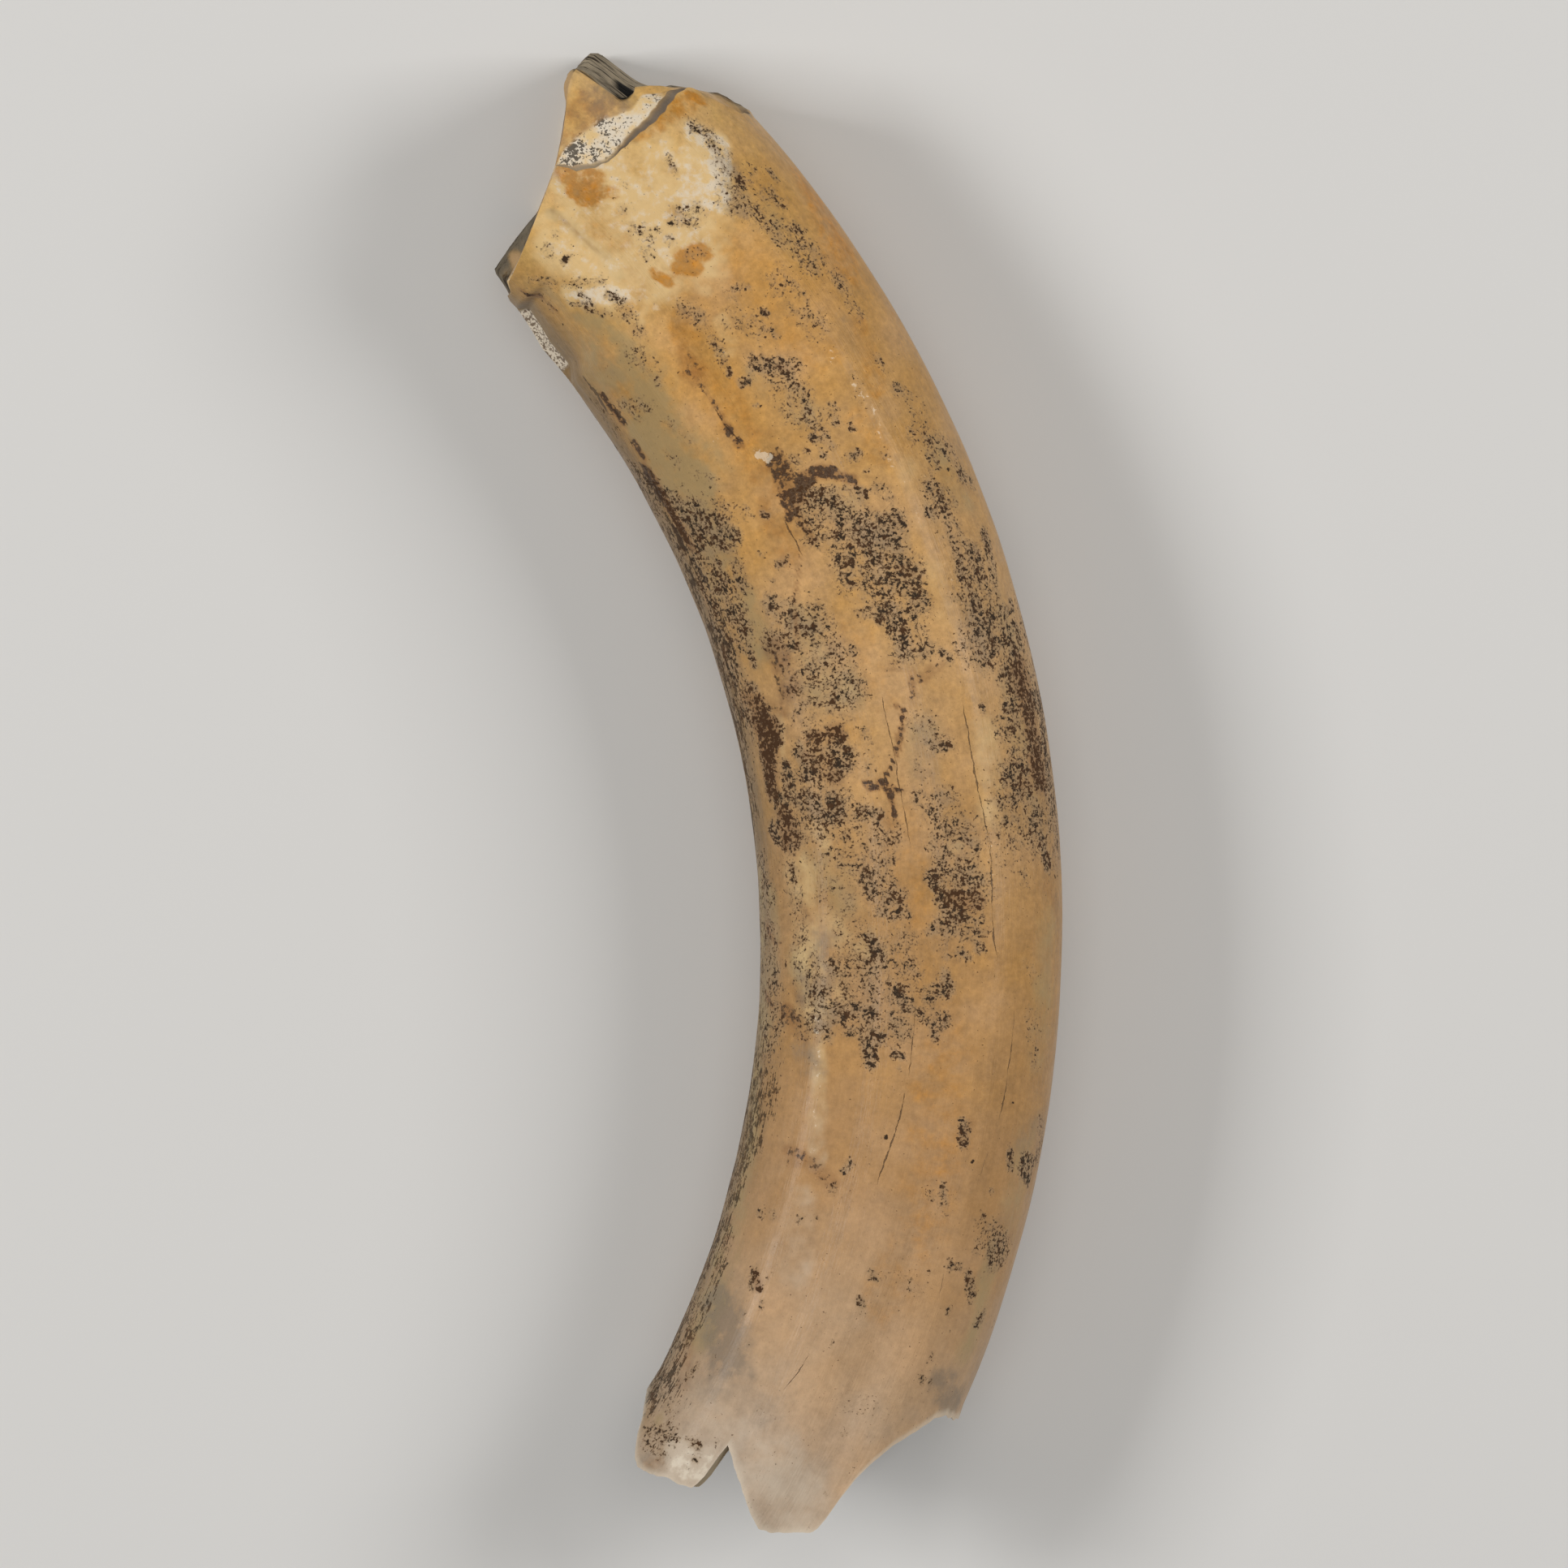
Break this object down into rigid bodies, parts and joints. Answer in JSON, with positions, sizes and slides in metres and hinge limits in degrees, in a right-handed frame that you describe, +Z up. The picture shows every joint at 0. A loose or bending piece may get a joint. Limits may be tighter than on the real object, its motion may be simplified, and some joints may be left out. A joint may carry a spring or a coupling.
{
  "type": "fossil ground sloth tooth",
  "caption": "Curved, fluted fossil tooth of a giant ground sloth, with a broken, worn tip and an open hollow root, lying on its side.",
  "frame": {"origin": "centre of the bounding box at the level the tooth rests on", "axes": "+Y towards the worn tip along the greatest length, +X towards the convex side, +Z up from the flattened underside to the fluted face"},
  "size_m": [0.0617, 0.16, 0.0262],
  "materials": {
    "tooth": "half-gloss fossil dentine, warm tan with dark mineral speckles"
  },
  "bodies": {
    "root": {"tooth": "tooth"}
  },
  "joints": []
}
